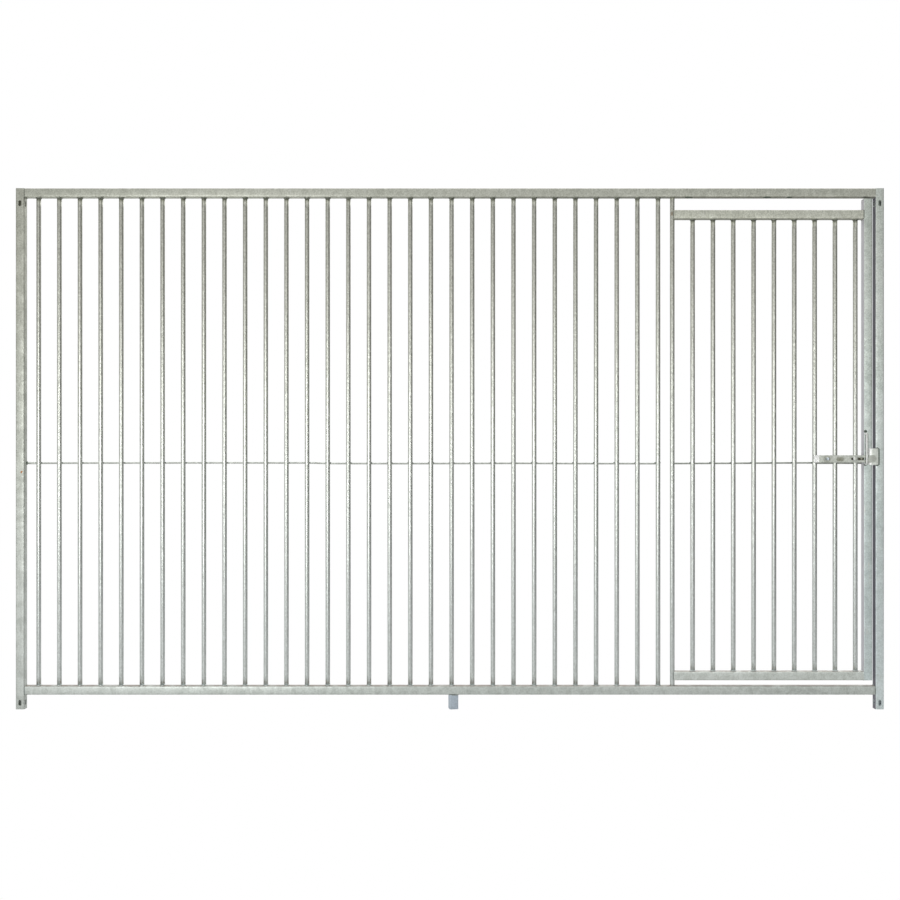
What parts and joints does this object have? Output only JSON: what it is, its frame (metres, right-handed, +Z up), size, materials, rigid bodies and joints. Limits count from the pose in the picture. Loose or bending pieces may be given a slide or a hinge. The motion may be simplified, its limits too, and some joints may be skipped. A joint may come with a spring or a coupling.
{
  "type": "barred kennel panel with door",
  "caption": "Kennel or fence panel of welded square tube and round upright bars, with a hinged barred door and a flat slide bolt",
  "frame": {"origin": "at floor level, in the middle of the bounding box; the tubes' middle plane lies about 10 mm behind it, because the latch stands out in front", "axes": "+X along the panel to the latch side, +Y to the rear, where the door opens to, +Z up"},
  "size_m": [3, 0.0552, 1.8],
  "materials": {
    "frame_zinc": "hot-dip galvanised square tube, mottled matt zinc",
    "bar_zinc": "hot-dip galvanised round tube and rod, satin zinc",
    "latch_zinc": "hot-dip galvanised flat steel, stained and worn zinc",
    "stub_zinc": "smooth bluish zinc on the middle foot"
  },
  "bodies": {
    "panel": {"bottom_rail": "frame_zinc", "fixed_bar_01": "bar_zinc", "fixed_bar_02": "bar_zinc", "fixed_bar_03": "bar_zinc", "fixed_bar_04": "bar_zinc", "fixed_bar_05": "bar_zinc", "fixed_bar_06": "bar_zinc", "fixed_bar_07": "bar_zinc", "fixed_bar_08": "bar_zinc", "fixed_bar_09": "bar_zinc", "fixed_bar_10": "bar_zinc", "fixed_bar_11": "bar_zinc", "fixed_bar_12": "bar_zinc", "fixed_bar_13": "bar_zinc", "fixed_bar_14": "bar_zinc", "fixed_bar_15": "bar_zinc", "fixed_bar_16": "bar_zinc", "fixed_bar_17": "bar_zinc", "fixed_bar_18": "bar_zinc", "fixed_bar_19": "bar_zinc", "fixed_bar_20": "bar_zinc", "fixed_bar_21": "bar_zinc", "fixed_bar_22": "bar_zinc", "fixed_bar_23": "bar_zinc", "fixed_bar_24": "bar_zinc", "fixed_bar_25": "bar_zinc", "fixed_bar_26": "bar_zinc", "fixed_bar_27": "bar_zinc", "fixed_bar_28": "bar_zinc", "fixed_bar_29": "bar_zinc", "fixed_bar_30": "bar_zinc", "fixed_bar_31": "bar_zinc", "keeper_plate": "latch_zinc", "left_post": "frame_zinc", "middle_foot": "stub_zinc", "panel_cross_rod": "bar_zinc", "right_post": "frame_zinc", "top_rail": "frame_zinc"},
    "door": {"door_bar_1": "bar_zinc", "door_bar_2": "bar_zinc", "door_bar_3": "bar_zinc", "door_bar_4": "bar_zinc", "door_bar_5": "bar_zinc", "door_bar_6": "bar_zinc", "door_bar_7": "bar_zinc", "door_bar_8": "bar_zinc", "door_bar_9": "bar_zinc", "door_bottom_rail": "frame_zinc", "door_cross_rod": "bar_zinc", "door_stile": "frame_zinc", "door_top_rail": "frame_zinc", "guide_stud": "latch_zinc", "latch_plate": "latch_zinc", "pivot_bar": "bar_zinc", "plate_pad_1": "latch_zinc", "plate_pad_2": "latch_zinc", "pull_handle": "latch_zinc"},
    "bolt": {"slide_bolt": "latch_zinc", "slide_rivet": "latch_zinc"}
  },
  "joints": [
    {"name": "door_swing", "type": "hinge", "parent": "panel", "child": "door", "pos_m": [0.771, 0.0104, 0.9], "axis": [0, 0, 1], "range_deg": [0, 140]},
    {"name": "bolt_slide", "type": "slide", "parent": "door", "child": "bolt", "axis": [-1, 0, 0], "range_m": [-0.01, 0.032]}
  ]
}
